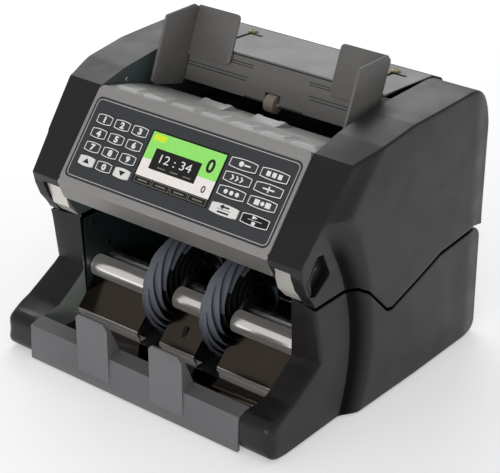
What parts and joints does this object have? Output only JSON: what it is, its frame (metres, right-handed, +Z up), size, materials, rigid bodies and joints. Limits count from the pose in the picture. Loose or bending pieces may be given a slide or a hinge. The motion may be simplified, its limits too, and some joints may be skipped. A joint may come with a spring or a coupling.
{
  "type": "banknote counting machine",
  "caption": "Desk-top banknote counter with a note hopper on top, a tilted key panel with a display, and a front stacker pocket with bladed wheels.",
  "frame": {"origin": "centre of the machine's outline, on the table under it", "axes": "+X to the user's right, +Y from the user to the rear, +Z up"},
  "size_m": [0.277, 0.252, 0.2361],
  "materials": {
    "shell": "charcoal moulded plastic, satin",
    "tray": "mid grey moulded plastic",
    "hopper": "light grey moulded plastic, semi-gloss",
    "guide": "grey moulded plastic",
    "bezel": "silver paint",
    "film": "graphite printed film",
    "key": "graphite film over a key",
    "white_key": "white film over a key",
    "display": "clear cover over a colour display",
    "bracket": "silver",
    "polished": "polished sheet steel",
    "steel": "zinc plated",
    "brass": "turned",
    "rubber": "black rubber",
    "wheel": "blue-grey moulded rubber",
    "roller": "light tan roller",
    "black": "black moulded plastic"
  },
  "bodies": {
    "base": {"base_plate": "steel", "foot_front_left": "rubber", "foot_front_right": "rubber", "foot_rear_left": "rubber", "foot_rear_right": "rubber", "chassis_plate_right": "steel", "chassis_plate_left": "steel", "hinge_rod": "steel", "stacker_tray": "tray", "stacker_plate": "polished", "drive_motor": "steel", "drive_belt": "rubber", "lower_cover_right": "shell", "lower_cover_left": "shell", "lower_rear_cover": "shell", "mains_inlet": "black"},
    "upper": {"upper_cover_right": "shell", "upper_cover_left": "shell", "cheek_bracket_right": "bracket", "cheek_bracket_left": "bracket", "front_bezel": "bezel", "keypad_film": "film", "display_panel": "display", "hopper_floor": "hopper", "hopper_back_plate": "tray", "top_cover": "hopper", "upper_rear_cover": "shell"},
    "stacker": {"stacker_shaft": "steel", "stacker_wheel_left": "wheel", "stacker_wheel_right": "wheel", "stacker_pulley": "black"},
    "main_drive": {"main_roller": "rubber", "main_pulley": "black"},
    "motor_shaft": {"motor_pulley": "brass"},
    "pickup": {"pickup_roller": "rubber"},
    "feeler": {"feeler_roller": "roller"},
    "guide_right": {"note_guide_right": "guide"},
    "guide_left": {"note_guide_left": "guide"},
    "latch": {"release_latch": "shell"},
    "rocker": {"power_switch": "black"},
    "key_1": {"key_1": "key"},
    "key_2": {"key_2": "key"},
    "key_3": {"key_3": "key"},
    "key_4": {"key_4": "key"},
    "key_5": {"key_5": "key"},
    "key_6": {"key_6": "key"},
    "key_7": {"key_7": "key"},
    "key_8": {"key_8": "key"},
    "key_9": {"key_9": "key"},
    "key_0": {"key_0": "key"},
    "key_up": {"key_up": "white_key"},
    "key_down": {"key_down": "white_key"},
    "key_function_1": {"key_function_1": "key"},
    "key_function_2": {"key_function_2": "key"},
    "key_function_3": {"key_function_3": "key"},
    "key_function_4": {"key_function_4": "key"},
    "key_function_5": {"key_function_5": "key"},
    "key_function_6": {"key_function_6": "key"},
    "key_function_7": {"key_function_7": "white_key"},
    "key_function_8": {"key_function_8": "key"}
  },
  "joints": [
    {"name": "upper_hinge", "type": "hinge", "parent": "base", "child": "upper", "pos_m": [0, 0.1175, 0.092], "axis": [-1, 0, 0], "range_deg": [0, 40]},
    {"name": "main_roller_spin", "type": "hinge", "parent": "base", "child": "main_drive", "pos_m": [0, 0.034, 0.066], "axis": [1, 0, 0], "continuous": true},
    {"name": "stacker_spin", "type": "hinge", "parent": "base", "child": "stacker", "pos_m": [0, -0.033, 0.0515], "axis": [1, 0, 0], "continuous": true},
    {"name": "motor_spin", "type": "hinge", "parent": "base", "child": "motor_shaft", "pos_m": [-0.11, 0.079, 0.042], "axis": [1, 0, 0], "continuous": true},
    {"name": "pickup_spin", "type": "hinge", "parent": "upper", "child": "pickup", "pos_m": [0, 0.00426, 0.17223], "axis": [1, 0, 0], "continuous": true},
    {"name": "feeler_spin", "type": "hinge", "parent": "upper", "child": "feeler", "pos_m": [-0.003, 0.0443, 0.17936], "axis": [1, 0, 0], "continuous": true},
    {"name": "guide_right_slide", "type": "slide", "parent": "upper", "child": "guide_right", "axis": [-1, 0, 0], "range_m": [-0.004, 0.03]},
    {"name": "guide_left_slide", "type": "slide", "parent": "upper", "child": "guide_left", "axis": [1, 0, 0], "range_m": [-0.004, 0.03]},
    {"name": "release_latch_pull", "type": "slide", "parent": "upper", "child": "latch", "axis": [0, 1, 0], "range_m": [0, 0.004], "stiffness_N_per_m": 150},
    {"name": "power_switch_rock", "type": "hinge", "parent": "base", "child": "rocker", "pos_m": [-0.086, 0.1188, 0.042], "axis": [1, 0, 0], "range_deg": [0, 9]},
    {"name": "key_1_press", "type": "slide", "parent": "upper", "child": "key_1", "axis": [0, 0.7683, -0.6401], "range_m": [0, 0.0005], "stiffness_N_per_m": 250},
    {"name": "key_2_press", "type": "slide", "parent": "upper", "child": "key_2", "axis": [0, 0.7683, -0.6401], "range_m": [0, 0.0005], "stiffness_N_per_m": 250},
    {"name": "key_3_press", "type": "slide", "parent": "upper", "child": "key_3", "axis": [0, 0.7683, -0.6401], "range_m": [0, 0.0005], "stiffness_N_per_m": 250},
    {"name": "key_4_press", "type": "slide", "parent": "upper", "child": "key_4", "axis": [0, 0.7683, -0.6401], "range_m": [0, 0.0005], "stiffness_N_per_m": 250},
    {"name": "key_5_press", "type": "slide", "parent": "upper", "child": "key_5", "axis": [0, 0.7683, -0.6401], "range_m": [0, 0.0005], "stiffness_N_per_m": 250},
    {"name": "key_6_press", "type": "slide", "parent": "upper", "child": "key_6", "axis": [0, 0.7683, -0.6401], "range_m": [0, 0.0005], "stiffness_N_per_m": 250},
    {"name": "key_7_press", "type": "slide", "parent": "upper", "child": "key_7", "axis": [0, 0.7683, -0.6401], "range_m": [0, 0.0005], "stiffness_N_per_m": 250},
    {"name": "key_8_press", "type": "slide", "parent": "upper", "child": "key_8", "axis": [0, 0.7683, -0.6401], "range_m": [0, 0.0005], "stiffness_N_per_m": 250},
    {"name": "key_9_press", "type": "slide", "parent": "upper", "child": "key_9", "axis": [0, 0.7683, -0.6401], "range_m": [0, 0.0005], "stiffness_N_per_m": 250},
    {"name": "key_0_press", "type": "slide", "parent": "upper", "child": "key_0", "axis": [0, 0.7683, -0.6401], "range_m": [0, 0.0005], "stiffness_N_per_m": 250},
    {"name": "key_up_press", "type": "slide", "parent": "upper", "child": "key_up", "axis": [0, 0.7683, -0.6401], "range_m": [0, 0.0005], "stiffness_N_per_m": 250},
    {"name": "key_down_press", "type": "slide", "parent": "upper", "child": "key_down", "axis": [0, 0.7683, -0.6401], "range_m": [0, 0.0005], "stiffness_N_per_m": 250},
    {"name": "key_function_1_press", "type": "slide", "parent": "upper", "child": "key_function_1", "axis": [0, 0.7683, -0.6401], "range_m": [0, 0.0005], "stiffness_N_per_m": 250},
    {"name": "key_function_2_press", "type": "slide", "parent": "upper", "child": "key_function_2", "axis": [0, 0.7683, -0.6401], "range_m": [0, 0.0005], "stiffness_N_per_m": 250},
    {"name": "key_function_3_press", "type": "slide", "parent": "upper", "child": "key_function_3", "axis": [0, 0.7683, -0.6401], "range_m": [0, 0.0005], "stiffness_N_per_m": 250},
    {"name": "key_function_4_press", "type": "slide", "parent": "upper", "child": "key_function_4", "axis": [0, 0.7683, -0.6401], "range_m": [0, 0.0005], "stiffness_N_per_m": 250},
    {"name": "key_function_5_press", "type": "slide", "parent": "upper", "child": "key_function_5", "axis": [0, 0.7683, -0.6401], "range_m": [0, 0.0005], "stiffness_N_per_m": 250},
    {"name": "key_function_6_press", "type": "slide", "parent": "upper", "child": "key_function_6", "axis": [0, 0.7683, -0.6401], "range_m": [0, 0.0005], "stiffness_N_per_m": 250},
    {"name": "key_function_7_press", "type": "slide", "parent": "upper", "child": "key_function_7", "axis": [0, 0.7683, -0.6401], "range_m": [0, 0.0005], "stiffness_N_per_m": 250},
    {"name": "key_function_8_press", "type": "slide", "parent": "upper", "child": "key_function_8", "axis": [0, 0.7683, -0.6401], "range_m": [0, 0.0005], "stiffness_N_per_m": 250}
  ],
  "couplings": [
    {"joint": "motor_spin", "follows": "main_roller_spin", "ratio": 2},
    {"joint": "stacker_spin", "follows": "main_roller_spin", "ratio": 0.7368},
    {"joint": "pickup_spin", "follows": "main_roller_spin", "ratio": -1.6923}
  ]
}
